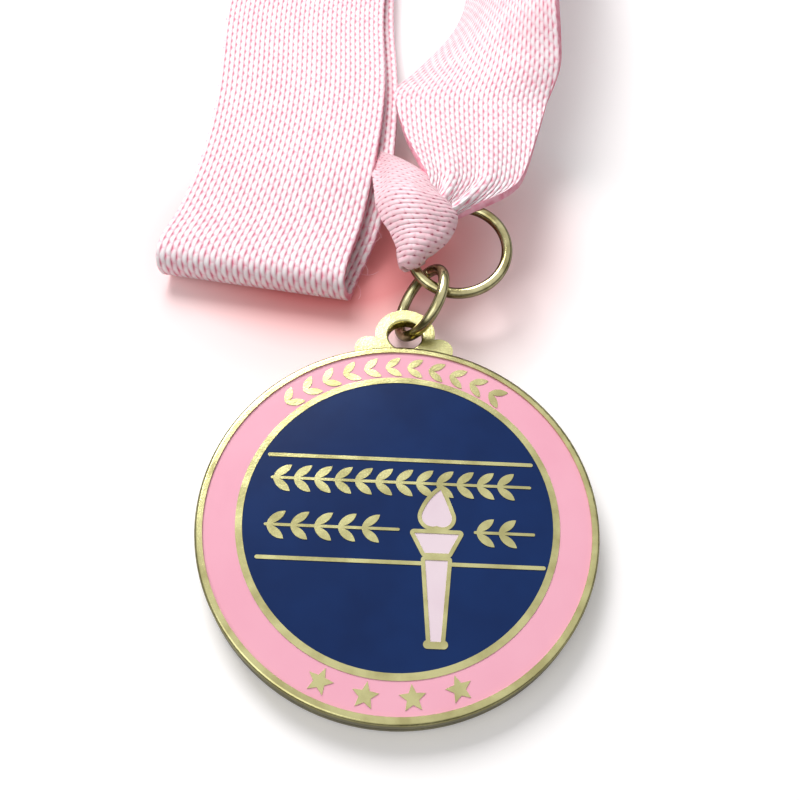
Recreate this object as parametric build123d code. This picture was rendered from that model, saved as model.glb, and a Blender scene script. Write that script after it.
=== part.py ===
"""Sports finisher medal: die-struck, enamelled disc on two wire rings and a neck ribbon.

Millimetres. The origin is the centre of the medal's flat back, +Z is up from the table,
+Y runs from the medal to its ribbon. The medal leans on its lower rim by TILT.
"""
import os
from math import cos, pi, radians, sin

from build123d import *

os.makedirs("parts", exist_ok=True)

# Medal
DISC_R, DISC_T = 22.5, 3.0
TILT = 2.0                       # degrees, lug end raised by the ring beneath it
FLOOR_Z = 2.3                    # floor of the enamel recesses
ENAMEL_Z, LINE_Z = 2.78, 2.86    # top of the enamel, top of the raised metal
RIM_W = 0.9
BAND_R0, BAND_R1 = 18.05, DISC_R - RIM_W
FIELD_R = 17.28
LINE_W = 0.45
BAR_TOP = (-15.2, 15.3, 6.97)    # x0, x1, y of the long bars on the field
BAR_LOW = (-15.4, 16.2, -5.42)

# Hanger lug
HOLE = (0.1, 24.7)
HOLE_R, EYE_R = 2.15, 3.75
LUG_Z0, LUG_Z1 = 0.7, 2.3
LOBE_X, LOBE_Y, LOBE_R = 4.35, 22.5, 1.75

# Rings
WIRE_R = 0.7
JUMP_R, JUMP_C, JUMP_N = 4.75, (2.0, 29.5, 2.65), (-0.813, 0.12, 0.52)
BIG_R, BIG_C, BIG_N = 6.25, (6.6, 36.65, 4.8), (-0.068, -0.183, 0.981)
RING_GAP = 0.12

# Ribbon
RIB_W, RIB_T = 25.0, 1.0
TABLE_Z = -DISC_R * sin(radians(TILT))


def lean(shape):
    """Takes a shape from the medal's own frame to the table's."""
    return Rot(TILT, 0, 0) * shape


def save(node, shape):
    """One file per node. Touching lumps of one piece stay together as one compound."""
    shape.label = node
    export_step(shape, f"parts/{node}.step")


def prism(sketch, z0, z1):
    return Pos(0, 0, z0) * extrude(sketch, z1 - z0)


def leaf(x, y, angle, length, width):
    """Pointed leaf outline that starts at x, y and runs along angle."""
    a, b = (0, 0), (length, 0)
    upper = ThreePointArc(a, (length * 0.45, width / 2), b)
    lower = ThreePointArc(b, (length * 0.45, -width / 2), a)
    return Pos(x, y) * Rot(0, 0, angle) * make_face([upper, lower])


def sprig_row(x0, x1, y, pitch=2.3, length=2.5, width=0.95):
    """Straight laurel sprig: a stem with paired leaves."""
    count = int((x1 - x0 - length * 0.6) / pitch)
    step = (x1 - x0 - length * 0.75) / count
    shapes = [Pos((x0 + x1) / 2, y) * SlotOverall(x1 - x0, 0.34)]
    for i in range(count):
        x = x0 + i * step + 0.3
        shapes += [leaf(x, y + 0.1, 38, length, width), leaf(x, y - 0.1, -38, length, width)]
    return shapes


def sprig_arc(radius, start, stop, count=11, length=2.3, width=0.9):
    """Laurel leaves in pairs along an arc, from start to stop degrees, clockwise."""
    shapes = []
    for i in range(count):
        a = start + (stop - start) * i / count
        x, y = radius * cos(radians(a)), radius * sin(radians(a))
        for side in (-34, 34):
            shapes.append(leaf(x, y, a - 90 + side, length, width))
    return shapes


def star(x, y, radius, turn):
    """Five-pointed star."""
    pts = []
    for i in range(10):
        r = radius if i % 2 == 0 else radius * 0.45
        a = radians(turn + 36 * i)
        pts.append((r * cos(a), r * sin(a)))
    return Pos(x, y) * make_face(Polyline(*pts, close=True))


def stars():
    out = []
    for a in (-112, -98, -84, -70):
        out.append(star(19.8 * cos(radians(a)), 19.8 * sin(radians(a)), 1.45, a + 180))
    return out


# Torch emblem: outline points of its three cells, bottom to top, about x = TORCH_X
TORCH_X = 4.3


def torch_handle(grow=0.0):
    pts = [(-0.55, -13.9), (0.55, -13.9), (1.25, -5.0), (-1.25, -5.0)]
    return Pos(TORCH_X, 0) * offset(make_face(Polyline(*pts, close=True)), grow)


def torch_cup(grow=0.0):
    pts = [(-1.3, -4.2), (1.3, -4.2), (2.5, -1.9), (-2.5, -1.9)]
    return Pos(TORCH_X, 0) * offset(make_face(Polyline(*pts, close=True)), grow)


def torch_flame(grow=0.0):
    base, waist, tip = (0, 0), (1.55, 1.5), (0.4, 4.4)
    edges = [ThreePointArc(base, (1.5, 0.35), waist), ThreePointArc(waist, (1.05, 2.9), tip),
             ThreePointArc(tip, (-0.9, 3.0), (-1.6, 1.6)), ThreePointArc((-1.6, 1.6), (-1.4, 0.3), base)]
    return Pos(TORCH_X, -1.0) * offset(make_face(edges), grow)


def torch_outline():
    cells = [torch_handle(LINE_W), torch_cup(LINE_W), torch_flame(LINE_W)]
    foot = Pos(TORCH_X, -14.2) * SlotOverall(2.6, 0.9)
    return cells + [foot]


def field_relief():
    """Raised metal on the round field: two bars, two sprig rows and the torch."""
    shapes = []
    for x0, x1, y in (BAR_TOP, BAR_LOW):
        shapes.append(Pos((x0 + x1) / 2, y) * SlotOverall(x1 - x0, LINE_W))
    shapes += sprig_row(-14.6, 15.0, 4.1)
    shapes += sprig_row(-14.8, 0.2, -1.6)
    shapes += sprig_row(8.4, 15.2, -1.6)
    return shapes


def medal_blank():
    disc = Cylinder(DISC_R, DISC_T, align=(Align.CENTER, Align.CENTER, Align.MIN))
    disc = fillet(disc.edges().filter_by(GeomType.CIRCLE).sort_by(Axis.Z)[-1], 0.4)
    disc = fillet(disc.edges().filter_by(GeomType.CIRCLE).sort_by(Axis.Z)[0], 0.3)
    disc -= prism(Circle(BAND_R1) - Circle(BAND_R0), FLOOR_Z, DISC_T + 1)
    disc -= prism(Circle(FIELD_R), FLOOR_Z, DISC_T + 1)
    disc -= prism(Circle(BAND_R1), LINE_Z, DISC_T + 1)
    disc -= prism(Circle(DISC_R + 1) - Circle(DISC_R - 0.12), 1.25, 1.4)
    return disc


def ring_relief():
    return sprig_arc(19.5, 135, 50) + stars()


def torch_metal():
    solid = prism(torch_outline()[0], FLOOR_Z, LINE_Z)
    for s in torch_outline()[1:]:
        solid += prism(s, FLOOR_Z, LINE_Z)
    for cell in (torch_handle(), torch_cup(), torch_flame()):
        solid -= prism(cell, FLOOR_Z + 0.1, LINE_Z + 1)
    return solid


def relief(sketches, keep_out=()):
    """Islands of metal that stand up through the enamel."""
    solid = prism(sketches[0], FLOOR_Z, LINE_Z)
    for s in sketches[1:]:
        solid += prism(s, FLOOR_Z, LINE_Z)
    for s in keep_out:
        solid -= prism(s, FLOOR_Z - 1, LINE_Z + 1)
    return solid


def enamel_field(islands):
    pool = prism(Circle(FIELD_R), FLOOR_Z, ENAMEL_Z)
    for s in torch_outline():
        pool -= prism(s, FLOOR_Z - 1, LINE_Z + 1)
    return pool - islands


def enamel_band(islands):
    return prism(Circle(BAND_R1) - Circle(BAND_R0), FLOOR_Z, ENAMEL_Z) - islands


def hanger_lug():
    plate = Pos(*HOLE) * Circle(EYE_R)
    plate += Pos(-LOBE_X, LOBE_Y) * Circle(LOBE_R)
    plate += Pos(LOBE_X, LOBE_Y) * Circle(LOBE_R)
    plate += Pos(0, 21.4) * Rectangle(2 * LOBE_X, 3.2)
    lug = prism(plate, LUG_Z0, LUG_Z1)
    lug -= Cylinder(DISC_R, 20)
    lug -= Pos(*HOLE, 0) * Cylinder(HOLE_R, 20)
    eye = lug.edges().filter_by(GeomType.CIRCLE)
    return fillet([e for e in eye if abs(e.radius - HOLE_R) < 0.01], 0.25)


def solder_fillet():
    """Bead of solder under the lug where it meets the rim."""
    bead = Torus(DISC_R + 0.05, 0.45) & Pos(0, DISC_R, 0) * Box(8.2, 3, 3)
    bead = Pos(0, 0, LUG_Z0) * bead
    bead -= Cylinder(DISC_R, 20)
    return bead - prism(Pos(0, 24) * Rectangle(14, 6), LUG_Z0, LUG_Z1)


def wire_ring(centre, normal, radius, cut_angle):
    """Round wire bent to a ring, with the saw cut where its ends meet."""
    place = Plane(origin=centre, x_dir=(1, 0, -normal[0] / normal[2]), z_dir=normal)
    ring = Torus(radius, WIRE_R)
    cut = Rot(0, 0, cut_angle) * Pos(radius, 0, 0) * Box(4, RING_GAP, 4)
    return place * (ring - cut)


def unit(v):
    return Vector(*v).normalized()


def section(path, i):
    """Cross section of the band at one station, square to the way it runs."""
    centre, cross, width = path[i]
    ahead = Vector(*path[min(i + 1, len(path) - 1)][0]) - Vector(*path[max(i - 1, 0)][0])
    across = unit(cross)
    ahead = ahead - across * ahead.dot(across)
    return Plane(origin=centre, x_dir=across, z_dir=ahead) * Rectangle(width, RIB_T)


def half_turn(start, end, out, steps=6):
    """Stations of a U bend from start to end, both left out, bulging along out."""
    a, b = Vector(*start[0]), Vector(*end[0])
    mid, arm = (a + b) / 2, (a - b) / 2
    reach = unit(out) * arm.length
    turns = [pi * i / steps for i in range(1, steps)]
    return [(tuple(mid + arm * cos(t) + reach * sin(t)), start[1], start[2]) for t in turns]


# Ribbon run by run: centre points in the table's frame, cross direction, width. It leaves
# the ring as the front piece and left band, comes back over it as the folded loop, and
# returns to the ring as the right band. Both halves turn round at the far end.
LOW_Z = TABLE_Z + RIB_T / 2
FAR_LEFT, FAR_RIGHT = (-17.5, 228.0), (13.0, 220.0)
BACK_Z, OVER_Z = 1.7, 3.6        # centre heights where the left and right halves turn
FOLD = (-20.4, 35.3, 3.5)        # x, y and upper height of the fold nearest the medal
EYE_AT, EYE_L, EYE_R0, EYE_R1 = 180, 3.6, 1.2, 2.0   # ribbon eye round the large ring's wire

FRONT = [
    ((1.0, 33.4, 7.3), (0.95, 0.3, 0), 5.0),
    ((1.7, 35.7, 8.0), (0.99, 0.15, 0.05), 7.0),
    ((1.5, 38.6, 8.5), (0.97, 0.1, 0.15), 9.5),
    ((0.6, 42.0, 8.2), (0.93, 0.15, 0.3), 12.0),
    ((-1.2, 45.6, 6.2), (0.86, 0.3, 0.4), 14.0),
]
LEFT = [
    FRONT[-1],
    ((-5.0, 49.8, 3.2), (0.88, 0.35, 0.3), 18.0),
    ((-10.5, 57.5, 1.4), (0.93, 0.33, 0.12), 22.0),
    ((-15.5, 69.0, LOW_Z), (1, 0.15, 0), RIB_W),
    ((-17.5, 92.0, LOW_Z), (1, 0, 0), RIB_W),
    ((*FAR_LEFT, LOW_Z), (1, 0, 0), RIB_W),
]
LOWER = [
    ((*FAR_LEFT, BACK_Z), (1, 0, 0), RIB_W),
    ((-16.0, 90.0, BACK_Z), (1, 0.05, 0), RIB_W),
    ((-14.6, 66.0, 2.3), (1, 0.05, 0.06), RIB_W),
    ((-14.9, 52.0, 2.6), (1, 0, 0.1), RIB_W),
    ((-16.6, 43.0, 1.2), (1, -0.08, 0.04), RIB_W),
    ((FOLD[0] + 1.0, FOLD[1], LOW_Z), (0.99, -0.12, 0), RIB_W),
]
UPPER = [
    (FOLD, (0.99, -0.12, 0), RIB_W),
    ((-18.8, 43.0, 3.3), (1, -0.06, 0.03), RIB_W),
    ((-17.3, 53.0, 4.1), (1, 0.01, 0.1), RIB_W),
    ((-16.6, 66.5, 4.0), (1, 0.07, 0.06), RIB_W),
    ((-17.6, 89.0, 3.4), (1, 0.04, 0), RIB_W),
    ((-15.0, 116.0, 3.4), (0.98, -0.2, 0), RIB_W),
    ((-3.0, 155.0, 4.0), (0.95, -0.3, 0), RIB_W),
    ((9.0, 192.0, 4.0), (0.96, -0.25, 0), RIB_W),
    ((*FAR_RIGHT, OVER_Z), (1, 0, 0), RIB_W),
]
RIGHT = [
    ((*FAR_RIGHT, LOW_Z), (1, 0, 0), RIB_W),
    ((15.0, 165.0, LOW_Z), (1, 0, 0), RIB_W),
    ((16.8, 132.0, 4.9), (0.93, 0, 0.36), RIB_W),
    ((16.0, 108.0, 9.8), (0.62, -0.15, 0.77), RIB_W),
    ((14.3, 91.0, 10.6), (0.45, -0.35, 0.82), RIB_W),
    ((12.2, 79.5, 9.4), (0.58, -0.4, 0.7), RIB_W),
    ((10.1, 71.3, 7.5), (0.81, -0.3, 0.45), RIB_W),
    ((8.2, 62.8, 7.2), (0.99, -0.11, 0.12), 21.5),
    ((7.8, 52.5, 8.2), (0.98, -0.18, 0), 17.0),
    ((7.8, 45.4, 9.2), (0.98, -0.19, 0), 12.8),
    ((6.2, 40.8, 9.2), (0.98, -0.18, 0), 7.6),
    ((5.2, 38.2, 8.7), (0.95, 0.33, 0), 3.2),
]


def ribbon_eye():
    """Sewn eye of the ribbon, a short sleeve round the large ring's wire."""
    place = Plane(origin=BIG_C, x_dir=(1, 0, -BIG_N[0] / BIG_N[2]), z_dir=BIG_N)
    sleeve = Cylinder(EYE_R1, EYE_L) - Cylinder(EYE_R0, EYE_L + 1)
    return lean(place * Rot(0, 0, EYE_AT) * Pos(BIG_R, 0, 0) * Rot(90, 0, 0) * sleeve)


def stitch_bar():
    """Bar of sewing thread that closes the eye over the two bands."""
    return Pos(2.4, 46.8, 9.9) * Rot(0, 0, 20) * Box(3.6, 1.4, 0.4)


def ribbon_runs():
    """The runs in order. Each one starts at the last station of the run before."""
    turn_left = [*half_turn(LEFT[-1], LOWER[0], (0, 1, 0)), LOWER[0]]
    fold = [*half_turn(LOWER[-1], UPPER[0], (-0.12, -0.99, 0)), UPPER[0]]
    turn_right = [*half_turn(UPPER[-1], RIGHT[0], (0, 1, 0)), RIGHT[0]]
    return [("front", FRONT), ("left", LEFT[1:4]), ("left_far", LEFT[4:]), ("turn_left", turn_left),
            ("loop_low", LOWER[1:]), ("fold", fold), ("loop_top", UPPER[1:5]), ("top_far", UPPER[5:]),
            ("turn_right", turn_right), ("right_far", RIGHT[1:4]), ("right_bank", RIGHT[4:8]),
            ("right", RIGHT[8:])]


def ribbon():
    path = [station for _, run in ribbon_runs() for station in run]
    sections = [section(path, i) for i in range(len(path))]
    nodes, first = {}, 0
    for name, run in ribbon_runs():
        last = first + len(run) if nodes else len(run) - 1
        nodes["ribbon_" + name] = loft(sections[first:last + 1], ruled=True)
        first = last
    for over in ("ribbon_loop_low", "ribbon_loop_top"):
        nodes["ribbon_left"] -= nodes[over]
        nodes["ribbon_front"] -= nodes[over]
    nodes["ribbon_right"] -= nodes["ribbon_front"]
    nodes["ribbon_right"] -= nodes["ribbon_left"]
    nodes["ribbon_eye"] = ribbon_eye() - nodes["ribbon_front"]
    nodes["stitch_bar"] = stitch_bar() - nodes["ribbon_right"] - nodes["ribbon_front"]
    return nodes


def main():
    islands_field = relief(field_relief(), torch_outline())
    islands_band = relief(ring_relief())
    save("medal_blank", lean(medal_blank()))
    save("relief_field", lean(islands_field))
    save("relief_band", lean(islands_band))
    save("torch_metal", lean(torch_metal()))
    save("enamel_field", lean(enamel_field(islands_field)))
    save("enamel_band", lean(enamel_band(islands_band)))
    for node, cell in (("enamel_handle", torch_handle()), ("enamel_cup", torch_cup()),
                       ("enamel_flame", torch_flame())):
        save(node, lean(prism(cell, FLOOR_Z + 0.1, ENAMEL_Z)))
    save("hanger_lug", lean(hanger_lug()))
    save("solder_fillet", lean(solder_fillet()))
    save("jump_ring", lean(wire_ring(JUMP_C, JUMP_N, JUMP_R, 75)))
    save("large_ring", lean(wire_ring(BIG_C, BIG_N, BIG_R, 100)))
    for node, shape in ribbon().items():
        save(node, shape)


main()
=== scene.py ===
"""Sports finisher medal: finishes of the struck medal and its rings, and the woven neck ribbon."""
import math

import bmesh
import bpy
from mathutils import Matrix, Vector


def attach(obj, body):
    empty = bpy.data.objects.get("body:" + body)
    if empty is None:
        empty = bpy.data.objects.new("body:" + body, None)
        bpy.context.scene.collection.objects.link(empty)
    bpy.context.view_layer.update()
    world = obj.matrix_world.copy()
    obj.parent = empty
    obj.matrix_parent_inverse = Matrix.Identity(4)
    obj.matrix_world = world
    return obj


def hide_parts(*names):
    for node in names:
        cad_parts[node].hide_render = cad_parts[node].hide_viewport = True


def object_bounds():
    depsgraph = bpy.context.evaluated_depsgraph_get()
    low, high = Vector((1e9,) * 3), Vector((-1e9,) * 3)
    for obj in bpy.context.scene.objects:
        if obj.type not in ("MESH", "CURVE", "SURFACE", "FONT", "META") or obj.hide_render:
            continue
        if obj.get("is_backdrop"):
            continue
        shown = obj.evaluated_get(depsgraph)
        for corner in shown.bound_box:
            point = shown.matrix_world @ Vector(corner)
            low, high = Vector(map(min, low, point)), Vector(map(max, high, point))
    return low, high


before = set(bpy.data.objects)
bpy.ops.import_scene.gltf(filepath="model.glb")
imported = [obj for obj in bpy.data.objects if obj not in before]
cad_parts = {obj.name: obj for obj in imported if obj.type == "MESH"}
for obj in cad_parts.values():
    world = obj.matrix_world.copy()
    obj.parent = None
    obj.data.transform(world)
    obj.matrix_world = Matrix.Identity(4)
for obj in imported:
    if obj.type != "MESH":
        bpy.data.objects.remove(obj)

bl_info = {
    "name": "Sports finisher medal",
    "version": (1, 0, 0),
    "blender": (4, 2, 0),
    "location": "View3D > Sidebar > Medal",
    "description": "Enamelled finisher medal on two wire rings with a woven neck ribbon",
    "category": "Add Mesh",
}

MM = 0.001

# Values shared with the solids, in millimetres
DISC_R = 22.5
TILT = math.radians(2.0)
TABLE_Z = -DISC_R * math.sin(TILT)
WIRE_R = 0.7
RIB_W, RIB_T = 25.0, 1.0
LOW_Z = TABLE_Z + RIB_T / 2
FAR_LEFT, FAR_RIGHT = (-17.5, 228.0), (13.0, 220.0)
BACK_Z, OVER_Z = 1.7, 3.6
FOLD = (-20.4, 35.3, 3.5)
JUMP = dict(radius=4.75, centre=(2.0, 29.5, 2.65), normal=(-0.813, 0.12, 0.52), cut=75)
BIG = dict(radius=6.25, centre=(6.6, 36.65, 4.8), normal=(-0.068, -0.183, 0.981), cut=100)

# Stations of the ribbon: centre, cross direction, width. They are the solids' own, but
# the gathered end is drawn in more softly.
LEFT = [
    ((-9.5, 57.0, 1.6), (0.93, 0.33, 0.12), 12.0),
    ((-15.5, 69.0, LOW_Z), (1, 0.15, 0), RIB_W),
    ((-17.5, 92.0, LOW_Z), (1, 0, 0), RIB_W),
    ((*FAR_LEFT, LOW_Z), (1, 0, 0), RIB_W),
]
LOWER = [
    ((*FAR_LEFT, BACK_Z), (1, 0, 0), RIB_W),
    ((-16.0, 90.0, BACK_Z), (1, 0.05, 0), RIB_W),
    ((-14.6, 66.0, 2.3), (1, 0.05, 0.06), RIB_W),
    ((-14.9, 52.0, 2.6), (1, 0, 0.1), RIB_W),
    ((-16.6, 43.0, 1.2), (1, -0.08, 0.04), RIB_W),
    ((FOLD[0] + 1.0, FOLD[1], LOW_Z), (0.99, -0.12, 0), RIB_W),
]
UPPER = [
    (FOLD, (0.99, -0.12, 0), RIB_W),
    ((-18.8, 43.0, 3.3), (1, -0.06, 0.03), RIB_W),
    ((-17.3, 53.0, 4.1), (1, 0.01, 0.1), RIB_W),
    ((-16.6, 66.5, 4.0), (1, 0.07, 0.06), RIB_W),
    ((-17.6, 89.0, 3.4), (1, 0.04, 0), RIB_W),
    ((-15.0, 116.0, 3.4), (0.98, -0.2, 0), RIB_W),
    ((-3.0, 155.0, 4.0), (0.95, -0.3, 0), RIB_W),
    ((9.0, 192.0, 4.0), (0.96, -0.25, 0), RIB_W),
    ((*FAR_RIGHT, OVER_Z), (1, 0, 0), RIB_W),
]
RIGHT = [
    ((*FAR_RIGHT, LOW_Z), (1, 0, 0), RIB_W),
    ((15.0, 165.0, LOW_Z), (1, 0, 0), RIB_W),
    ((16.8, 132.0, 4.9), (0.93, 0, 0.36), RIB_W),
    ((16.0, 108.0, 9.8), (0.62, -0.15, 0.77), RIB_W),
    ((14.3, 91.0, 10.6), (0.45, -0.35, 0.82), RIB_W),
    ((12.2, 79.5, 9.4), (0.58, -0.4, 0.7), RIB_W),
    ((10.1, 71.3, 7.5), (0.81, -0.3, 0.45), RIB_W),
    ((8.2, 62.8, 7.2), (0.99, -0.11, 0.12), 21.5),
    ((8.2, 55.0, 7.9), (1, -0.03, 0.05), 17.8),
    ((8.2, 50.0, 8.6), (1, -0.08, 0.01), 15.0),
    ((8.1, 46.8, 9.0), (0.99, -0.1, -0.03), 12.8),
    ((7.3, 44.4, 9.1), (0.98, -0.14, -0.05), 9.8),
    ((6.0, 42.5, 8.9), (0.95, -0.18, -0.05), 6.6),
    ((4.3, 41.2, 8.1), (0.9, -0.3, 0), 4.2),
]

# Knot: where the band is gathered and sewn over the ring's wire. Here the yarns run
# across it. Centre, cross direction, width, height of its crown.
KNOT = [
    ((1.1, 33.2, 6.1), (0.89, 0.45, 0), 2.4, 0.3),
    ((1.0, 33.4, 6.8), (0.92, 0.38, 0), 3.9, 0.6),
    ((1.2, 34.3, 7.3), (0.98, 0.2, 0), 5.1, 1.0),
    ((1.7, 35.7, 7.9), (0.99, 0.12, 0), 6.8, 1.2),
    ((1.9, 37.8, 8.4), (0.99, 0.14, 0.04), 8.9, 1.3),
    ((1.2, 39.8, 9.0), (1, 0.05, 0.12), 10.3, 1.4),
    ((0.2, 42.0, 9.2), (0.98, -0.08, 0.2), 10.2, 1.4),
    ((-0.7, 44.6, 8.7), (0.93, -0.24, 0.28), 9.6, 1.1),
    ((-1.5, 48.4, 7.8), (0.81, -0.45, 0.38), 10.4, 0.7),
    ((-3.6, 54.4, 5.0), (0.67, -0.61, 0.36), 11.0, 0.3),
    ((-7.6, 59.5, 2.0), (0.67, -0.61, 0.1), 12.0, 0.0),
]
# Creases of the knot: start and end along it, place across it, depth
TUCKS = [(0.50, 0.56, -0.72, 0.8), (0.60, 0.82, -0.45, 0.5), (0.22, 0.34, 0.5, 0.35)]

# Sheets as drawn: spacing of the band's rows, number of its columns, thicknesses
ROW_STEP, BAND_COLUMNS = 0.85, 26
BAND_T, KNOT_T = RIB_T * 0.85, 0.65
KNOT_SIZE = (44, 72)             # columns and rows
FLOAT = 1.7                      # length of a float of the weave

# Eye round the large ring's wire: radius, wall, first angle and span along the ring
EYE_R, EYE_WALL = 1.75, 0.5
EYE_FROM, EYE_SPAN = math.radians(158), math.radians(42)

# Stitches of the bar tack, and loose filaments: start of each and its first heading
STITCHES, STITCH_R = 5, 0.12
FILAMENTS = ((-7.2, 37.6, 2.0, 0.1), (-6.6, 40.2, 2.4, -0.5), (-6.9, 36.2, 1.4, -0.9),
             (-6.2, 42.6, 3.0, 0.4), (-7.4, 34.6, 1.2, -0.2), (-3.6, 41.5, 8.0, -1.6))
FILAMENT_R, FILAMENT_STEP, FILAMENT_POINTS = 0.022, 0.33, 12

# Eye and camera, from the table's frame in millimetres
EYE_POINT = (-1.95, -43.43, 96.19)
VIEW_DIR = (0.01531, 0.53135, -0.84701)
VIEW_UP = (-0.04404, 0.84665, 0.53033)
LENS, SENSOR = 41.27, 36.0
LAMPS = (                        # name, place, size in metres, power in watts
    ("window_light", (-150, 330, 330), 0.24, 2.1),
    ("fill_light", (-220, -160, 360), 0.3, 0.35),
)
LAMP_AIM = (0, 20, 0)
TABLE_HALF = 3.0                 # metres
FLOOR_LIFT = 0.16                # added to the table as the lens sees it
FLOOR_DIM = 0.45                 # how bright the table is in the metal's reflections
AMBIENT = 0.36                   # level of the light from all round


# ---------------------------------------------------------------- materials

def linear(hexcode):
    """Linear colour of an sRGB hex value."""
    parts = [int(hexcode[i:i + 2], 16) / 255 for i in (1, 3, 5)]
    return tuple(c / 12.92 if c <= 0.04045 else ((c + 0.055) / 1.055) ** 2.4
                 for c in parts) + (1.0,)


def fill(tree, node, inputs):
    """Gives each input of a node the value or the link listed for it."""
    for key, value in inputs.items():
        if isinstance(value, bpy.types.NodeSocket):
            tree.links.new(value, node.inputs[key])
        else:
            node.inputs[key].default_value = value


def add(tree, kind, inputs, stops=(), **settings):
    """Adds a node with its settings, its inputs and, for a ramp, its stops."""
    node = tree.nodes.new(kind)
    for key, value in settings.items():
        setattr(node, key, value)
    fill(tree, node, inputs)
    if stops:
        elements = node.color_ramp.elements
        while len(elements) < len(stops):
            elements.new(0.5)
        for element, (at, colour) in zip(elements, stops):
            element.position, element.color = at, colour
    return node


def new_material(name):
    mat = bpy.data.materials.new(name)
    mat.use_nodes = True
    return mat, mat.node_tree, mat.node_tree.nodes["Principled BSDF"]


def plated_metal(name, colour, dark, rough, grain_mm, grain_height_mm, patch_mm=3.0):
    """Thin gold-tone plating over cast zinc or brass wire: a warm mirror with faint pits
    and a slightly duller tarnish in patches."""
    mat, tree, bsdf = new_material(name)
    coord = add(tree, "ShaderNodeTexCoord", {}).outputs["Object"]
    patch = add(tree, "ShaderNodeTexNoise",
                {"Vector": coord, "Scale": 1 / (patch_mm * MM), "Detail": 3.0})
    tone = add(tree, "ShaderNodeValToRGB", {"Fac": patch.outputs["Fac"]},
               stops=[(0.35, dark), (0.6, colour)])
    grain = add(tree, "ShaderNodeTexNoise",
                {"Vector": coord, "Scale": 1 / (grain_mm * MM), "Detail": 2.0})
    bump = add(tree, "ShaderNodeBump", {"Height": grain.outputs["Fac"], "Strength": 0.5,
                                        "Distance": grain_height_mm * MM})
    gloss = add(tree, "ShaderNodeMath", {0: patch.outputs["Fac"], 1: 0.12, 2: rough - 0.06},
                operation="MULTIPLY_ADD")
    fill(tree, bsdf, {"Metallic": 1.0, "Base Color": tone.outputs["Color"],
                      "Roughness": gloss.outputs[0], "Normal": bump.outputs["Normal"]})
    return mat


def cured_enamel(name, colour, deep, rough=0.2, coat=0.12, shine=0.3, cloud_mm=6.0, skin_mm=2.5):
    """Soft enamel, a filled resin cured in the recess: glossy, very slightly uneven,
    a little deeper in tone where it is thick."""
    mat, tree, bsdf = new_material(name)
    coord = add(tree, "ShaderNodeTexCoord", {}).outputs["Object"]
    cloud = add(tree, "ShaderNodeTexNoise",
                {"Vector": coord, "Scale": 1 / (cloud_mm * MM), "Detail": 2.0})
    tone = add(tree, "ShaderNodeValToRGB", {"Fac": cloud.outputs["Fac"]},
               stops=[(0.3, deep), (0.7, colour)])
    skin = add(tree, "ShaderNodeTexNoise",
               {"Vector": coord, "Scale": 1 / (skin_mm * MM), "Detail": 1.0})
    bump = add(tree, "ShaderNodeBump", {"Height": skin.outputs["Fac"], "Strength": 0.25,
                                        "Distance": 0.02 * MM})
    fill(tree, bsdf, {"Roughness": rough, "Specular IOR Level": shine, "Coat Weight": coat,
                      "Coat Roughness": 0.05, "Base Color": tone.outputs["Color"],
                      "Normal": bump.outputs["Normal"]})
    return mat


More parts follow.
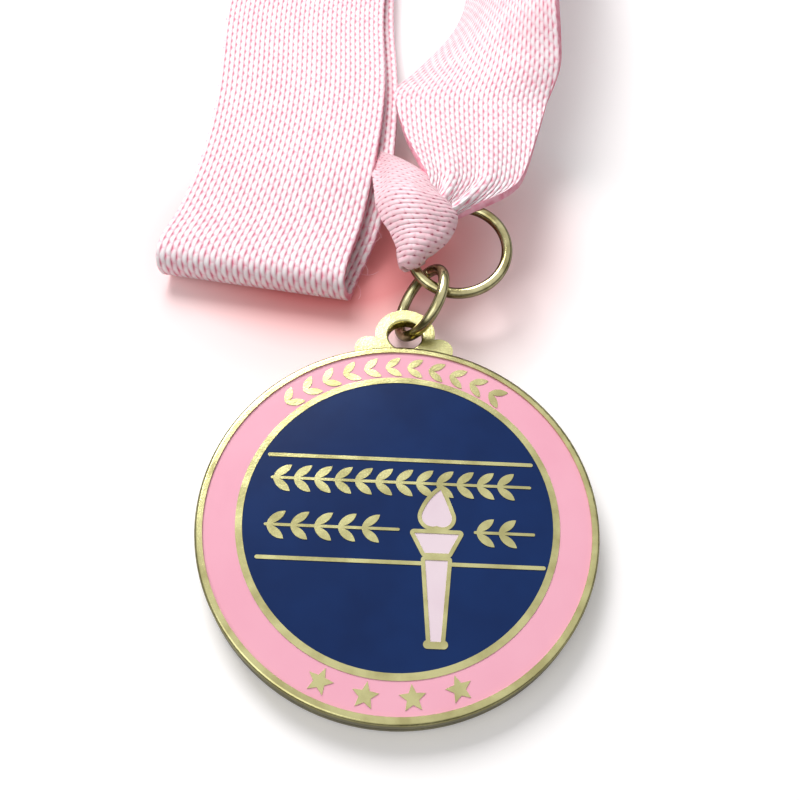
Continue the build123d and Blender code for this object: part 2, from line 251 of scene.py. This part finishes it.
def woven_polyester(name, colour, painted_highlight_colour, painted_shade_colour, pitch_mm, float_mm, depth_mm, hole=1.0):
    """Bright polyester ribbon: slim warp floats in a brick bond, with a painted highlight on their
    crowns and short strokes of painted shade in the seams between them. UV runs in millimetres,
    across and along."""
    mat, tree, bsdf = new_material(name)
    uv = add(tree, "ShaderNodeUVMap", {}, uv_map="Weave").outputs["UV"]
    wander = add(tree, "ShaderNodeTexNoise", {"Vector": uv, "Scale": 0.45, "Detail": 3.0})
    split = add(tree, "ShaderNodeSeparateXYZ", {"Vector": uv})
    value = {"x": split.outputs["X"], "y": split.outputs["Y"], "wander": wander.outputs["Fac"]}
    steps = (
        # warp columns, and the brick shift of every second one
        ("straight", "DIVIDE", "x", pitch_mm),
        ("across", "MULTIPLY_ADD", "wander", 0.25, "straight"),
        ("column", "FLOOR", "across"),
        ("even", "DIVIDE", "y", float_mm),
        ("along", "MULTIPLY_ADD", "wander", 0.5, "even"),
        ("shifted", "MULTIPLY_ADD", "column", 0.5, "along"),
        # crown of each float, across and along it
        ("part_u", "FRACT", "across"),
        ("angle_u", "MULTIPLY", "part_u", math.pi),
        ("arch_u", "SINE", "angle_u"),
        ("crown_u", "POWER", "arch_u", 0.7),
        ("part_v", "FRACT", "shifted"),
        ("angle_v", "MULTIPLY", "part_v", math.pi),
        ("arch_v", "SINE", "angle_v"),
        ("crown_v", "POWER", "arch_v", 0.5),
        ("rise", "MULTIPLY_ADD", "crown_v", 0.6, 0.4),
        ("height", "MULTIPLY", "crown_u", "rise"),
        # painted shade in the seams, where the ends of neighbouring floats go under, and at each
        # float's ends
        ("seam", "ROUND", "across"),
        ("turn", "MULTIPLY_ADD", "seam", 0.5, "along"),
        ("angle_t", "MULTIPLY", "turn", 2 * math.pi),
        ("wave", "COSINE", "angle_t"),
        ("half_wave", "MULTIPLY_ADD", "wave", 0.5, 0.5),
        ("pulse", "POWER", "half_wave", hole),
        ("gap", "SUBTRACT", 1.0, "crown_u"),
        ("deep", "MULTIPLY_ADD", "pulse", 0.85, 0.1),
        ("seam_shade", "MULTIPLY", "gap", "deep"),
        ("end", "SUBTRACT", 1.0, "crown_v"),
        ("end_shade", "MULTIPLY", "end", 0.32),
        ("seam_unshaded", "SUBTRACT", 1.0, "seam_shade"),
        ("plain", "SUBTRACT", "seam_unshaded", "end_shade"),
        # faint blotches over the whole band
        ("offset", "SUBTRACT", "wander", 0.5),
        ("blotch", "MULTIPLY", "offset", 0.5),
        ("light", "ADD", "plain", "blotch"),
    )
    for result, operation, *terms in steps:
        inputs = {i: value.get(term, term) for i, term in enumerate(terms)}
        value[result] = add(tree, "ShaderNodeMath", inputs, operation=operation).outputs[0]
    # the ramp paints shade in the seams and at the float ends, and a highlight on the crowns
    tone = add(tree, "ShaderNodeValToRGB", {"Fac": value["light"]},
               stops=[(0.15, painted_shade_colour), (0.6, colour), (1.0, painted_highlight_colour)])
    bump = add(tree, "ShaderNodeBump", {"Height": value["height"], "Strength": 0.9,
                                        "Distance": depth_mm * MM})
    fill(tree, bsdf, {"Base Color": tone.outputs["Color"], "Normal": bump.outputs["Normal"],
                      "Roughness": 0.42, "Sheen Weight": 0.3, "Sheen Roughness": 0.4})
    return mat


def turned_weft(name, colour, shade, float_mm):
    """Selvedge: the fine weft turning round the outer warps, seen edge on."""
    mat, tree, bsdf = new_material(name)
    coord = add(tree, "ShaderNodeTexCoord", {}).outputs["Object"]
    turns = add(tree, "ShaderNodeTexNoise",
                {"Vector": coord, "Scale": 2 / (float_mm * MM), "Detail": 1.0})
    tone = add(tree, "ShaderNodeValToRGB", {"Fac": turns.outputs["Fac"]},
               stops=[(0.35, shade), (0.65, colour)])
    bump = add(tree, "ShaderNodeBump", {"Height": turns.outputs["Fac"], "Strength": 0.8,
                                        "Distance": 0.15 * MM})
    fill(tree, bsdf, {"Base Color": tone.outputs["Color"], "Normal": bump.outputs["Normal"],
                      "Roughness": 0.55})
    return mat


def spun_thread(name, colour, shade, turn_mm=0.25):
    """Twisted sewing thread: slanting plies, one radian of their wave to turn_mm."""
    mat, tree, bsdf = new_material(name)
    coord = add(tree, "ShaderNodeTexCoord", {}).outputs["Object"]
    wave_rate = 20                   # radians a wave of scale 1 gains in one unit
    ply = add(tree, "ShaderNodeTexWave",
              {"Vector": coord, "Scale": 1 / (turn_mm * MM) / wave_rate, "Distortion": 0.5},
              bands_direction="DIAGONAL")
    tone = add(tree, "ShaderNodeValToRGB", {"Fac": ply.outputs["Fac"]},
               stops=[(0.2, shade), (0.8, colour)])
    bump = add(tree, "ShaderNodeBump", {"Height": ply.outputs["Fac"], "Strength": 0.6,
                                        "Distance": 0.05 * MM})
    fill(tree, bsdf, {"Base Color": tone.outputs["Color"], "Normal": bump.outputs["Normal"],
                      "Roughness": 0.6})
    return mat


# ---------------------------------------------------------------- helpers

def place(obj_name, bm, mat, body):
    """Makes an object from the bmesh, in place, riding on the body."""
    mesh = bpy.data.meshes.new(obj_name)
    bm.to_mesh(mesh)
    bm.free()
    mesh.shade_smooth()
    obj = bpy.data.objects.new(obj_name, mesh)
    bpy.context.scene.collection.objects.link(obj)
    obj.data.materials.append(mat)
    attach(obj, body)
    return obj


def finish_node(node, mat):
    """Gives a solid of the frame its finish."""
    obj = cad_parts[node]
    obj.data.materials.clear()
    obj.data.materials.append(mat)


def lean():
    return Matrix.Rotation(TILT, 4, "X")


def ring_matrix(ring):
    """From a ring's own plane to the table's frame, in millimetres."""
    normal = Vector(ring["normal"]).normalized()
    x = Vector((1, 0, -normal.x / normal.z)).normalized()
    m = Matrix((x, normal.cross(x), normal)).transposed().to_4x4()
    return lean() @ Matrix.Translation(ring["centre"]) @ m


def half_turn(start, end, out, steps=6):
    """Stations of a U bend from start to end, both left out, bulging along out."""
    a, b = Vector(start[0]), Vector(end[0])
    mid, arm = (a + b) / 2, (a - b) / 2
    reach = Vector(out).normalized() * arm.length
    turns = [math.pi * i / steps for i in range(1, steps)]
    return [(tuple(mid + arm * math.cos(t) + reach * math.sin(t)), start[1], start[2])
            for t in turns]


def full_route():
    """Stations of the whole band, from the eye round both far bends and back."""
    return [*LEFT, *half_turn(LEFT[-1], LOWER[0], (0, 1, 0)), *LOWER,
            *half_turn(LOWER[-1], UPPER[0], (-0.12, -0.99, 0)), *UPPER,
            *half_turn(UPPER[-1], RIGHT[0], (0, 1, 0)), *RIGHT]


class Route:
    """Smooth path through the stations, by distance along it."""

    def __init__(self, stations):
        self.points = [Vector(s[0]) for s in stations]
        self.cross = [Vector(s[1]).normalized() for s in stations]
        self.width = [float(s[2]) for s in stations]
        self.crown = [float(s[3]) if len(s) > 3 else 0.0 for s in stations]
        self.at = [0.0]
        for a, b in zip(self.points, self.points[1:]):
            self.at.append(self.at[-1] + (b - a).length)
        self.length = self.at[-1]

    def slope(self, values, i):
        """Slope at a station, taken so that the path never swings past its stations."""
        last = len(values) - 1
        if i in (0, last):
            j = max(i, 1)
            return (values[j] - values[j - 1]) / (self.at[j] - self.at[j - 1])
        h0, h1 = self.at[i] - self.at[i - 1], self.at[i + 1] - self.at[i]
        d0, d1 = (values[i] - values[i - 1]) / h0, (values[i + 1] - values[i]) / h1
        if isinstance(d0, float):
            return self.tame(d0, d1, h0, h1)
        return Vector(self.tame(a, b, h0, h1) for a, b in zip(d0, d1))

    def tame(self, d0, d1, h0, h1):
        """Slope between two neighbouring gradients, none at a turning point."""
        if d0 * d1 <= 0:
            return 0.0
        mean = (d0 * h1 + d1 * h0) / (h0 + h1)
        return math.copysign(min(abs(mean), 2 * abs(d0), 2 * abs(d1)), mean)

    def span(self, s):
        """Number of the stretch between stations that holds distance s."""
        for i in range(len(self.at) - 1):
            if s <= self.at[i + 1]:
                return i
        return len(self.at) - 2

    def blend(self, values, i, s):
        """Value at distance s, inside stretch i."""
        h = self.at[i + 1] - self.at[i]
        t = (s - self.at[i]) / h
        m0, m1 = self.slope(values, i) * h, self.slope(values, i + 1) * h
        return (values[i] * (2 * t ** 3 - 3 * t ** 2 + 1) + m0 * (t ** 3 - 2 * t ** 2 + t)
                + values[i + 1] * (3 * t ** 2 - 2 * t ** 3) + m1 * (t ** 3 - t ** 2))

    def sample(self, s):
        """Centre, cross direction, face normal and width at distance s."""
        i = self.span(s)
        centre = self.blend(self.points, i, s)
        cross = self.blend(self.cross, i, s).normalized()
        width = self.blend(self.width, i, s)
        step = 0.3
        after, before = min(s + step, self.length), max(s - step, 0)
        ahead = (self.blend(self.points, self.span(after), after)
                 - self.blend(self.points, self.span(before), before))
        normal = ahead.cross(cross).normalized() * -1
        return centre, cross, normal, min(width, RIB_W)


def pleats(u, width):
    """Height of the gathers where the band is drawn narrower than its full width."""
    gather = 1 - width / RIB_W
    wave = u * 2 * math.pi * 2.5
    return 0.55 * gather * (math.cos(wave) - 0.3 * math.cos(2 * wave + 1.0))


def selvedge(u, s):
    """Small scallops where the weft turns round the outer warps."""
    edge = max(0.0, (abs(u) - 0.47) / 0.03)
    return math.copysign(edge * 0.16 * math.sin(s * 2 * math.pi / FLOAT), u)


def map_weave(bm, layer, flat):
    """Gives each corner the place of its vertex in the flat cloth."""
    for face in bm.faces:
        for loop in face.loops:
            loop[layer].uv = flat[loop.vert.index]


def thicken(obj, thickness, offset, round_mm, segments):
    """Gives a sheet its thickness and rounds its edges."""
    solid = obj.modifiers.new("Thickness", "SOLIDIFY")
    solid.thickness, solid.offset = thickness * MM, offset
    bevel = obj.modifiers.new("Edge", "BEVEL")
    bevel.width, bevel.segments, bevel.limit_method = round_mm * MM, segments, "ANGLE"
    bevel.angle_limit = math.radians(60)
    return solid


# ---------------------------------------------------------------- pieces

def build_band(mat, edge):
    """The whole woven band as one sheet laid along the route."""
    route = Route(full_route())
    rows = int(route.length / ROW_STEP)
    bm = bmesh.new()
    bmesh.ops.create_grid(bm, x_segments=BAND_COLUMNS, y_segments=rows, size=0.5)
    layer = bm.loops.layers.uv.new("Weave")
    flat = {}
    for v in bm.verts:
        u, s = v.co.x, (v.co.y + 0.5) * route.length
        centre, cross, normal, width = route.sample(s)
        flat[v.index] = (u * (0.35 * RIB_W + 0.65 * width), s)
        v.co = (centre + cross * (u * width + selvedge(u, s)) + normal * pleats(u, width)) * MM
    map_weave(bm, layer, flat)
    obj = place("ribbon_band", bm, mat, "ribbon")
    obj.data.materials.append(edge)
    solid = thicken(obj, BAND_T, 0.0, 0.25, 2)
    solid.use_even_offset, solid.material_offset_rim = True, 1
    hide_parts("ribbon_left", "ribbon_left_far", "ribbon_turn_left",
                "ribbon_loop_low", "ribbon_fold", "ribbon_loop_top", "ribbon_top_far",
                "ribbon_turn_right", "ribbon_right_far", "ribbon_right_bank", "ribbon_right")
    return obj, route.length


def build_knot(mat):
    """Gathered front of the band: a crowned, creased lobe whose toe dips over the wire."""
    route = Route(KNOT)
    bm = bmesh.new()
    bmesh.ops.create_grid(bm, x_segments=KNOT_SIZE[0], y_segments=KNOT_SIZE[1], size=0.5)
    layer = bm.loops.layers.uv.new("Weave")
    flat = {}
    for v in bm.verts:
        q, s = v.co.x * 2, (v.co.y + 0.5) * route.length
        centre, cross, normal, width = route.sample(s)
        crown = route.blend(route.crown, route.span(s), s)
        flat[v.index] = (s * 1.05 + 0.35 * math.sin(q * 2.2), q * (width / 2 + 0.6))
        lift = crown * (1 - abs(q) ** 2.6 * 1.6)
        for along, across, depth, size in tucks_at(s / route.length, q):
            lift -= depth * math.exp(-(along ** 2 + across ** 2) / size ** 2)
        v.co = (centre + cross * (q * width / 2 * (1 - 0.04 * q * q)) + normal * lift) * MM
    map_weave(bm, layer, flat)
    obj = place("ribbon_knot", bm, mat, "ribbon")
    thicken(obj, KNOT_T, -1.0, 0.3, 3)
    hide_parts("ribbon_front")
    return obj


def tucks_at(t, q):
    """Distance to each crease of the knot, its depth and its size."""
    out = []
    for start, end, side, depth in TUCKS:
        along = 0 if start <= t <= end else min(abs(t - start), abs(t - end))
        out.append((along * 2.0, q - side, depth, 0.22))
    return out


def build_bar_tack(mat):
    """Bar tack that closes the eye: a row of short stitches over the two bands."""
    bm = bmesh.new()
    for i in range(STITCHES):
        x = 2.0 + i * 0.34
        a = Vector((x, 45.6 - 0.3 * i + 0.15 * math.sin(i * 2.1), 9.0))
        b = a + Vector((0.35, 0.9, 0.05))
        mid = (a + b) / 2 + Vector((0, 0, 0.2))
        tube(bm, [p * MM for p in (a, a.lerp(mid, 0.6), mid, b.lerp(mid, 0.6), b)],
             STITCH_R * MM, 8)
    bmesh.ops.recalc_face_normals(bm, faces=bm.faces)
    obj = place("bar_tack", bm, mat, "ribbon")
    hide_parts("stitch_bar")
    return obj


def build_fibres(mat):
    """A few loose filaments that have worked out of the selvedge."""
    bm = bmesh.new()
    for x, y, z, turn in FILAMENTS:
        points, p, heading = [], Vector((x, y, z)), turn
        for _ in range(FILAMENT_POINTS):
            points.append(p * MM)
            heading -= 0.16 * (1 if turn > -0.3 else -1)
            p = p + Vector((math.cos(heading), math.sin(heading), -0.08)) * FILAMENT_STEP
        tube(bm, points, FILAMENT_R * MM, 5)
    bmesh.ops.recalc_face_normals(bm, faces=bm.faces)
    return place("ribbon_filaments", bm, mat, "ribbon")


def build_eye(mat):
    """Sewn eye: the gathered end of the band rolled round the large ring's wire."""
    bm = bmesh.new()
    ring = ring_matrix(BIG)
    profile = bmesh.ops.create_circle(bm, segments=36, radius=EYE_R)["verts"]
    for v in profile:
        a = math.atan2(v.co.y, v.co.x)
        v.co *= 1 + 0.05 * math.cos(7 * a)
    turn = Matrix.Rotation(EYE_FROM, 4, "Z") @ Matrix.Translation((BIG["radius"], 0, 0))
    bmesh.ops.transform(bm, matrix=turn @ Matrix.Rotation(math.radians(90), 4, "X"), verts=profile)
    bmesh.ops.spin(bm, geom=bm.edges[:], cent=(0, 0, 0), axis=(0, 0, 1),
                   angle=EYE_SPAN, steps=26, use_merge=False)
    layer = bm.loops.layers.uv.new("Weave")
    for face in bm.faces:
        for loop in face.loops:
            p = loop.vert.co
            around = math.atan2(p.z, math.hypot(p.x, p.y) - BIG["radius"])
            loop[layer].uv = (math.atan2(p.y, p.x) * BIG["radius"] * 2.2, around * EYE_R)
    bmesh.ops.transform(bm, matrix=Matrix.Scale(MM, 4) @ ring, verts=bm.verts)
    bmesh.ops.recalc_face_normals(bm, faces=bm.faces)
    obj = place("ribbon_eye_roll", bm, mat, "ribbon")
    wall = obj.modifiers.new("Wall", "SOLIDIFY")
    wall.thickness, wall.offset = EYE_WALL * MM, -1.0
    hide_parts("ribbon_eye")
    return obj


def build_ring(name, ring, mat, body, node):
    """Round wire bent to a ring. Its ends meet at a fine saw cut."""
    gap = math.degrees(0.1 / ring["radius"])
    bm = bmesh.new()
    bmesh.ops.create_circle(bm, segments=28, radius=WIRE_R, cap_ends=True)
    start = Matrix.Rotation(math.radians(ring["cut"] + gap / 2), 4, "Z")
    start = start @ Matrix.Translation((ring["radius"], 0, 0))
    start = start @ Matrix.Rotation(math.pi / 2, 4, "X")
    bmesh.ops.transform(bm, matrix=start, verts=bm.verts)
    bmesh.ops.spin(bm, geom=bm.faces[:] + bm.edges[:] + bm.verts[:], cent=(0, 0, 0),
                   axis=(0, 0, 1), angle=math.radians(360 - gap), steps=160, use_merge=False)
    bmesh.ops.remove_doubles(bm, verts=bm.verts, dist=0.001)
    bmesh.ops.transform(bm, matrix=Matrix.Scale(MM, 4) @ ring_matrix(ring), verts=bm.verts)
    bmesh.ops.recalc_face_normals(bm, faces=bm.faces)
    obj = place(name, bm, mat, body)
    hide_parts(node)
    return obj


def tube(bm, points, radius, segments=6):
    """Thin thread along points, closed at both ends."""
    rings = []
    for i, p in enumerate(points):
        ahead = (points[min(i + 1, len(points) - 1)] - points[max(i - 1, 0)]).normalized()
        turn = ahead.to_track_quat("Z", "Y").to_matrix().to_4x4()
        made = bmesh.ops.create_circle(bm, segments=segments, radius=radius,
                                       matrix=Matrix.Translation(p) @ turn)["verts"]
        rings.append(made)
    for a, b in zip(rings, rings[1:]):
        edges = {e for v in a + b for e in v.link_edges if e.other_vert(v) in a + b}
        keep = [e for e in edges if (e.verts[0] in a) == (e.verts[1] in a)]
        bmesh.ops.bridge_loops(bm, edges=keep)
    for end in (rings[0], rings[-1]):
        bmesh.ops.contextual_create(bm, geom=end)


# ---------------------------------------------------------------- add-on

class MedalColours(bpy.types.PropertyGroup):
    """Colours a maker would choose."""
    field: bpy.props.FloatVectorProperty(
        name="Field", description="Enamel of the round field", subtype="COLOR", size=4,
        min=0.0, max=1.0, default=linear("#0E2C60"))
    band: bpy.props.FloatVectorProperty(
        name="Band", description="Enamel of the outer band", subtype="COLOR", size=4,
        min=0.0, max=1.0, default=linear("#F9B4C7"))
    emblem: bpy.props.FloatVectorProperty(
        name="Emblem", description="Enamel of the emblem", subtype="COLOR", size=4,
        min=0.0, max=1.0, default=linear("#EFDCE4"))
    ribbon: bpy.props.FloatVectorProperty(
        name="Ribbon", description="Yarn of the neck ribbon", subtype="COLOR", size=4,
        min=0.0, max=1.0, default=linear("#FBBFCE"))
    plating: bpy.props.FloatVectorProperty(
        name="Plating", description="Plating of the medal", subtype="COLOR", size=4,
        min=0.0, max=1.0, default=linear("#CBC690"))
    wire: bpy.props.FloatVectorProperty(
        name="Wire", description="Colour of the wire rings", subtype="COLOR", size=4,
        min=0.0, max=1.0, default=linear("#D0C89A"))


class MedalSizes(bpy.types.PropertyGroup):
    """Sizes of the weave."""
    float_length: bpy.props.FloatProperty(
        name="Float", description="Length of a warp float", default=FLOAT * MM, min=0.0005,
        unit="LENGTH")
    pitch: bpy.props.FloatProperty(
        name="Pitch", description="Spacing of the warps", default=0.74 * MM, min=0.0002,
        unit="LENGTH")


class MEDAL_OT_struck(bpy.types.Operator):
    """Finish the struck medal, its relief and its enamels"""
    bl_idname = "medal.struck"
    bl_label = "Struck medal"

    def execute(self, context):
        c = context.scene.medal_colours
        gold = plated_metal("plated_zinc", c.plating, linear("#B3AC78"), 0.22, 0.25, 0.02)
        for node in ("medal_blank", "relief_field", "relief_band", "torch_metal", "hanger_lug",
                     "solder_fillet"):
            finish_node(node, gold)
        navy = cured_enamel("navy_enamel", c.field, linear("#0A2555"), 0.25, 0.0, 0.16)
        finish_node("enamel_field", navy)
        finish_node("enamel_band", cured_enamel("pink_enamel", c.band, linear("#F6AEC2")))
        blush = cured_enamel("blush_enamel", c.emblem, linear("#E8D2DC"))
        for node in ("enamel_handle", "enamel_cup", "enamel_flame"):
            finish_node(node, blush)
        return {"FINISHED"}


class MEDAL_OT_rings(bpy.types.Operator):
    """Bend the jump ring and the large ring from round wire"""
    bl_idname = "medal.rings"
    bl_label = "Wire rings"

    def execute(self, context):
        c = context.scene.medal_colours
        brass = plated_metal("antique_brass_wire", c.wire, linear("#8A8052"), 0.17, 0.4, 0.02)
        build_ring("jump_ring_wire", JUMP, brass, "jump_ring", "jump_ring")
        build_ring("large_ring_wire", BIG, brass, "large_ring", "large_ring")
        return {"FINISHED"}


class MEDAL_OT_ribbon(bpy.types.Operator):
    """Weave the neck ribbon, its eye and its stitches"""
    bl_idname = "medal.ribbon"
    bl_label = "Neck ribbon"

    def execute(self, context):
        c, z = context.scene.medal_colours, context.scene.medal_sizes
        pitch, float_mm = z.pitch / MM, z.float_length / MM
        # after the yarn colour come the painted highlight and the painted shade of the seams
        weave = woven_polyester("woven_polyester", c.ribbon, linear("#FFF7F9"), linear("#E8748F"),
                                pitch, float_mm, 0.15)
        edge = turned_weft("weft_turns", linear("#F8B4C5"), linear("#EE8FA6"), float_mm)
        band, length = build_band(weave, edge)
        print("ribbon length mm", round(length, 1))
        # gathered weave of the knot and eye: pale painted highlight, deep red painted shade in
        # sharp seams
        tight = woven_polyester("gathered_polyester", linear("#FBC0CD"), linear("#FFD9E1"),
                                linear("#A8304F"), pitch, float_mm, 0.13, 3.0)
        knot = build_knot(tight)
        eye = build_eye(tight)
        thread = spun_thread("sewing_thread", linear("#FDCBD6"), linear("#F0A6B8"))
        tack = build_bar_tack(thread)
        loose = build_fibres(thread)
        return {"FINISHED"}


class MEDAL_OT_stage(bpy.types.Operator):
    """Table, studio light and camera"""
    bl_idname = "medal.stage"
    bl_label = "Stage"

    def execute(self, context):
        scene = context.scene
        scene.view_settings.view_transform = "Standard"
        build_table()
        build_world(scene)
        build_lamps(scene)
        build_camera(scene)
        return {"FINISHED"}


def build_table():
    """White table top, with a painted reddish shadow beside the fold for the ribbon's shade and
    the pink light it throws.
    """
    bm = bmesh.new()
    bmesh.ops.create_grid(bm, x_segments=1, y_segments=1, size=TABLE_HALF)
    mesh = bpy.data.meshes.new("table_top")
    bm.to_mesh(mesh)
    bm.free()
    floor = bpy.data.objects.new("table_top", mesh)
    floor.location.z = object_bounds()[0][2]
    bpy.context.scene.collection.objects.link(floor)
    mat, tree, bsdf = new_material("white_table")
    coord = add(tree, "ShaderNodeTexCoord", {}).outputs["Object"]
    near = add(tree, "ShaderNodeMapping", {"Vector": coord, "Location": (-0.010, 0.043, 0),
                                           "Scale": (0.030, 0.024, 1)}, vector_type="TEXTURE")
    away = add(tree, "ShaderNodeVectorMath", {0: near.outputs["Vector"]}, operation="LENGTH")
    reach = add(tree, "ShaderNodeMath", {0: away.outputs["Value"], 1: 0.5}, operation="MULTIPLY")
    # painted shadow: deep red close to the fold, fading to near white a little way off
    painted_shadow = add(tree, "ShaderNodeValToRGB", {"Fac": reach.outputs[0]},
               stops=[(0.22, linear("#DB8484")), (0.4, linear("#F3D3D3")),
                      (0.68, linear("#FBF8F8"))])
    path = add(tree, "ShaderNodeLightPath", {})
    dim = add(tree, "ShaderNodeMix",
              {"Factor": path.outputs["Is Glossy Ray"], "A": painted_shadow.outputs["Color"],
               "B": (FLOOR_DIM, FLOOR_DIM, FLOOR_DIM, 1)}, data_type="RGBA", blend_type="MULTIPLY")
    glow = add(tree, "ShaderNodeMath", {0: path.outputs["Is Camera Ray"], 1: FLOOR_LIFT},
               operation="MULTIPLY")
    # the table glows for the lens in the painted shadow's colour: red near the fold, near white
    # elsewhere
    fill(tree, bsdf, {"Base Color": dim.outputs["Result"], "Roughness": 0.6,
                      "Emission Color": painted_shadow.outputs["Color"],
                      "Emission Strength": glow.outputs[0]})
    floor.data.materials.append(mat)
    floor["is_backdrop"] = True


def build_world(scene):
    """White surroundings, darker toward the horizon in reflections so that metal has depth."""
    world = bpy.data.worlds.new("studio")
    scene.world = world
    world.use_nodes = True
    tree = world.node_tree
    path = add(tree, "ShaderNodeLightPath", {})
    direction = add(tree, "ShaderNodeTexCoord", {}).outputs["Generated"]
    z = add(tree, "ShaderNodeSeparateXYZ", {"Vector": direction}).outputs["Z"]
    sky = add(tree, "ShaderNodeValToRGB", {"Fac": z},
              stops=[(0.0, (0.25, 0.24, 0.22, 1)), (0.3, (0.1, 0.1, 0.09, 1)),
                     (0.62, (0.85, 0.85, 0.85, 1)), (1.0, (0.95, 0.95, 0.95, 1))])
    soft = add(tree, "ShaderNodeMix",
               {"Factor": path.outputs["Is Glossy Ray"], "A": (AMBIENT, AMBIENT, AMBIENT, 1),
                "B": sky.outputs["Color"]}, data_type="RGBA")
    seen = add(tree, "ShaderNodeMix",
               {"Factor": path.outputs["Is Camera Ray"], "A": soft.outputs["Result"],
                "B": (1, 1, 1, 1)}, data_type="RGBA")
    fill(tree, tree.nodes["Background"], {"Color": seen.outputs["Result"], "Strength": 1.0})


def build_lamps(scene):
    for name, at, size, power in LAMPS:
        data = bpy.data.lights.new(name, "AREA")
        data.size, data.energy = size, power
        lamp = bpy.data.objects.new(name, data)
        lamp.location = Vector(at) * MM
        lamp.rotation_euler = (Vector(LAMP_AIM) - Vector(at)).to_track_quat("-Z", "Y").to_euler()
        scene.collection.objects.link(lamp)


def build_camera(scene):
    data = bpy.data.cameras.new("camera")
    data.lens, data.sensor_width = LENS, SENSOR
    data.clip_start, data.clip_end = 0.005, 10
    cam = bpy.data.objects.new("camera", data)
    forward, up = Vector(VIEW_DIR).normalized(), Vector(VIEW_UP).normalized()
    right = forward.cross(up).normalized()
    turn = Matrix((right, right.cross(forward), -forward)).transposed().to_4x4()
    cam.matrix_world = Matrix.Translation(Vector(EYE_POINT) * MM) @ turn
    scene.collection.objects.link(cam)
    scene.camera = cam


class MEDAL_PT_panel(bpy.types.Panel):
    """Lists the medal's pieces"""
    bl_idname = "MEDAL_PT_panel"
    bl_label = "Finisher medal"
    bl_space_type = "VIEW_3D"
    bl_region_type = "UI"
    bl_category = "Medal"

    def draw(self, context):
        for prop in ("field", "band", "emblem", "ribbon", "plating", "wire"):
            self.layout.prop(context.scene.medal_colours, prop)
        for prop in ("float_length", "pitch"):
            self.layout.prop(context.scene.medal_sizes, prop)
        for operator in OPERATORS:
            self.layout.operator(operator.bl_idname)


OPERATORS = (MEDAL_OT_struck, MEDAL_OT_rings, MEDAL_OT_ribbon, MEDAL_OT_stage)
CLASSES = (MedalColours, MedalSizes, *OPERATORS, MEDAL_PT_panel)


def register():
    for cls in CLASSES:
        bpy.utils.register_class(cls)
    bpy.types.Scene.medal_colours = bpy.props.PointerProperty(type=MedalColours)
    bpy.types.Scene.medal_sizes = bpy.props.PointerProperty(type=MedalSizes)


def unregister():
    del bpy.types.Scene.medal_sizes
    del bpy.types.Scene.medal_colours
    for cls in reversed(CLASSES):
        bpy.utils.unregister_class(cls)


def main():
    register()
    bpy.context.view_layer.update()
    bpy.ops.medal.struck()
    bpy.ops.medal.rings()
    bpy.ops.medal.ribbon()
    bpy.ops.medal.stage()


if __name__ == "__main__":
    main()
